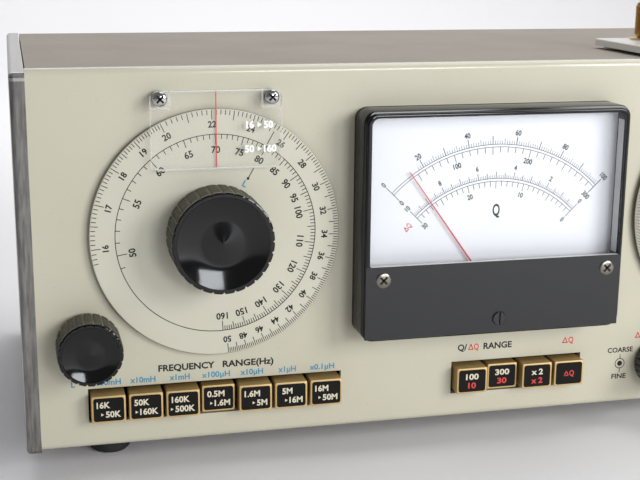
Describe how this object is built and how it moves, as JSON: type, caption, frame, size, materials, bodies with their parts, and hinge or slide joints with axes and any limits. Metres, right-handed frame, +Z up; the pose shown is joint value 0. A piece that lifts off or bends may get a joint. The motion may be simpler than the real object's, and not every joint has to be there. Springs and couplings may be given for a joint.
{
  "type": "bench q meter",
  "caption": "Bench Q, inductance and capacitance meter: metal case with tuning dials, a large pointer meter, push buttons, zero controls and top terminals.",
  "frame": {"origin": "on the floor, in the middle of the space that the whole instrument takes", "axes": "+X along the front panel to the user's right, +Y from the panel to the rear, +Z up"},
  "size_m": [0.454, 0.264, 0.217],
  "materials": {
    "panel_paint": "satin light cream paint",
    "frame_metal": "brushed, bright machined edges",
    "cover_paint": "fine textured grey-brown",
    "rear_paint": "satin grey paint",
    "zinc_sheet": "plated sheet",
    "foot_rubber": "matt",
    "screw_steel": "plated",
    "screw_chrome": "bright",
    "dial_paint": "satin cream with fired black scales",
    "shaft_steel": "ground",
    "knob_black": "glossy front, dusty fluted side",
    "drive_metal": "turned",
    "vane_metal": "plain sheet",
    "bush_brass": "turned",
    "clear_acrylic": "polished clear plastic",
    "meter_black": "glossy moulding",
    "meter_matt": "fine matt moulding",
    "scale_white": "printed white plate",
    "magnet_iron": "dull",
    "pointer_red": "painted tube",
    "coil_wire": "enamelled wire on a metal former",
    "key_bronze": "bronze coloured cap with a charcoal face",
    "switch_body": "moulded",
    "terminal_white": "smooth white",
    "post_brass": "gold plated",
    "transformer_iron": "varnished laminations",
    "circuit_laminate": "laminate with components"
  },
  "bodies": {
    "case": {"front_panel": "panel_paint", "left_side_frame": "frame_metal", "right_side_frame": "frame_metal", "top_cover": "cover_paint", "bottom_cover": "cover_paint", "rear_panel": "rear_paint", "chassis_deck": "zinc_sheet", "feet": "foot_rubber", "case_screws": "screw_steel", "panel_bushings": "bush_brass", "dial_cursors": "clear_acrylic", "cursor_posts": "shaft_steel", "panel_screws": "screw_chrome", "capacitor_frames": "vane_metal", "meter_bezel": "meter_black", "meter_window": "clear_acrylic", "meter_lower_cover": "meter_matt", "meter_scale_plate": "scale_white", "meter_body": "meter_matt", "meter_magnet": "magnet_iron", "key_switches": "switch_body", "zero_potentiometer": "zinc_sheet", "power_switch": "switch_body", "terminal_board": "terminal_white", "terminal_posts": "post_brass", "power_transformer": "transformer_iron", "circuit_board": "circuit_laminate", "mains_inlet": "switch_body"},
    "frequency_tuner": {"frequency_dial": "dial_paint", "frequency_shaft": "shaft_steel", "frequency_knob": "knob_black", "frequency_rotor": "vane_metal", "frequency_drive_disc": "drive_metal"},
    "fine_tuner": {"fine_tuning_knob": "knob_black", "fine_tuning_shaft": "shaft_steel"},
    "capacitance_tuner": {"capacitance_dial": "dial_paint", "capacitance_shaft": "shaft_steel", "capacitance_knob": "knob_black", "capacitance_rotor": "vane_metal"},
    "pointer": {"meter_needle": "pointer_red", "meter_coil": "coil_wire"},
    "zero_adjuster": {"meter_zero_adjuster": "meter_black"},
    "coarse_zero": {"coarse_zero_knob": "knob_black"},
    "fine_zero": {"fine_zero_knob": "knob_black"},
    "power": {"power_button": "key_bronze"},
    "range_button_1": {"range_key_1": "key_bronze"},
    "range_button_2": {"range_key_2": "key_bronze"},
    "range_button_3": {"range_key_3": "key_bronze"},
    "range_button_4": {"range_key_4": "key_bronze"},
    "range_button_5": {"range_key_5": "key_bronze"},
    "range_button_6": {"range_key_6": "key_bronze"},
    "range_button_7": {"range_key_7": "key_bronze"},
    "q_button_1": {"q_key_1": "key_bronze"},
    "q_button_2": {"q_key_2": "key_bronze"},
    "q_button_3": {"q_key_3": "key_bronze"},
    "q_button_4": {"q_key_4": "key_bronze"},
    "post_cap_1": {"terminal_cap_1": "post_brass"},
    "post_cap_2": {"terminal_cap_2": "post_brass"},
    "post_cap_3": {"terminal_cap_3": "post_brass"},
    "post_cap_4": {"terminal_cap_4": "post_brass"}
  },
  "joints": [
    {"name": "frequency_turn", "type": "hinge", "parent": "case", "child": "frequency_tuner", "pos_m": [-0.1361, -0.106, 0.1154], "axis": [0, 1, 0], "range_deg": [-176, 98]},
    {"name": "fine_tuning_turn", "type": "hinge", "parent": "case", "child": "fine_tuner", "pos_m": [-0.1968, -0.106, 0.0659], "axis": [0, 1, 0], "range_deg": [-490, 880]},
    {"name": "capacitance_turn", "type": "hinge", "parent": "case", "child": "capacitance_tuner", "pos_m": [0.1361, -0.106, 0.1154], "axis": [0, 1, 0], "range_deg": [-137, 137]},
    {"name": "pointer_swing", "type": "hinge", "parent": "case", "child": "pointer", "pos_m": [0, -0.106, 0.0805], "axis": [0, 1, 0], "range_deg": [-12, 84], "stiffness_Nm_per_rad": 0.001},
    {"name": "zero_adjuster_turn", "type": "hinge", "parent": "case", "child": "zero_adjuster", "pos_m": [0, -0.106, 0.0702], "axis": [0, 1, 0], "continuous": true},
    {"name": "coarse_zero_turn", "type": "hinge", "parent": "case", "child": "coarse_zero", "pos_m": [0.0965, -0.106, 0.0352], "axis": [0, 1, 0], "range_deg": [-150, 150]},
    {"name": "fine_zero_turn", "type": "hinge", "parent": "case", "child": "fine_zero", "pos_m": [0.0965, -0.106, 0.0352], "axis": [0, 1, 0], "range_deg": [-150, 150]},
    {"name": "power_press", "type": "slide", "parent": "case", "child": "power", "axis": [0, 1, 0], "range_m": [0, 0.004], "stiffness_N_per_m": 150},
    {"name": "range_key_1_press", "type": "slide", "parent": "case", "child": "range_button_1", "axis": [0, 1, 0], "range_m": [0, 0.0045], "stiffness_N_per_m": 150},
    {"name": "range_key_2_press", "type": "slide", "parent": "case", "child": "range_button_2", "axis": [0, 1, 0], "range_m": [0, 0.0045], "stiffness_N_per_m": 150},
    {"name": "range_key_3_press", "type": "slide", "parent": "case", "child": "range_button_3", "axis": [0, 1, 0], "range_m": [0, 0.0045], "stiffness_N_per_m": 150},
    {"name": "range_key_4_press", "type": "slide", "parent": "case", "child": "range_button_4", "axis": [0, 1, 0], "range_m": [-0.0038, 0.0007]},
    {"name": "range_key_5_press", "type": "slide", "parent": "case", "child": "range_button_5", "axis": [0, 1, 0], "range_m": [0, 0.0045], "stiffness_N_per_m": 150},
    {"name": "range_key_6_press", "type": "slide", "parent": "case", "child": "range_button_6", "axis": [0, 1, 0], "range_m": [0, 0.0045], "stiffness_N_per_m": 150},
    {"name": "range_key_7_press", "type": "slide", "parent": "case", "child": "range_button_7", "axis": [0, 1, 0], "range_m": [0, 0.0045], "stiffness_N_per_m": 150},
    {"name": "q_key_1_press", "type": "slide", "parent": "case", "child": "q_button_1", "axis": [0, 1, 0], "range_m": [0, 0.0045], "stiffness_N_per_m": 150},
    {"name": "q_key_2_press", "type": "slide", "parent": "case", "child": "q_button_2", "axis": [0, 1, 0], "range_m": [-0.0038, 0.0007]},
    {"name": "q_key_3_press", "type": "slide", "parent": "case", "child": "q_button_3", "axis": [0, 1, 0], "range_m": [0, 0.0045], "stiffness_N_per_m": 150},
    {"name": "q_key_4_press", "type": "slide", "parent": "case", "child": "q_button_4", "axis": [0, 1, 0], "range_m": [0, 0.0045], "stiffness_N_per_m": 150},
    {"name": "terminal_cap_1_turn", "type": "hinge", "parent": "case", "child": "post_cap_1", "pos_m": [0.1186, -0.0824, 0.1964], "axis": [0, 0, 1], "range_deg": [0, 1080]},
    {"name": "terminal_cap_2_turn", "type": "hinge", "parent": "case", "child": "post_cap_2", "pos_m": [0.1694, -0.0824, 0.1964], "axis": [0, 0, 1], "range_deg": [0, 1080]},
    {"name": "terminal_cap_3_turn", "type": "hinge", "parent": "case", "child": "post_cap_3", "pos_m": [0.1186, -0.0316, 0.1964], "axis": [0, 0, 1], "range_deg": [0, 1080]},
    {"name": "terminal_cap_4_turn", "type": "hinge", "parent": "case", "child": "post_cap_4", "pos_m": [0.1694, -0.0316, 0.1964], "axis": [0, 0, 1], "range_deg": [0, 1080]}
  ],
  "couplings": [
    {"joint": "fine_tuning_turn", "follows": "frequency_turn", "ratio": -5}
  ]
}
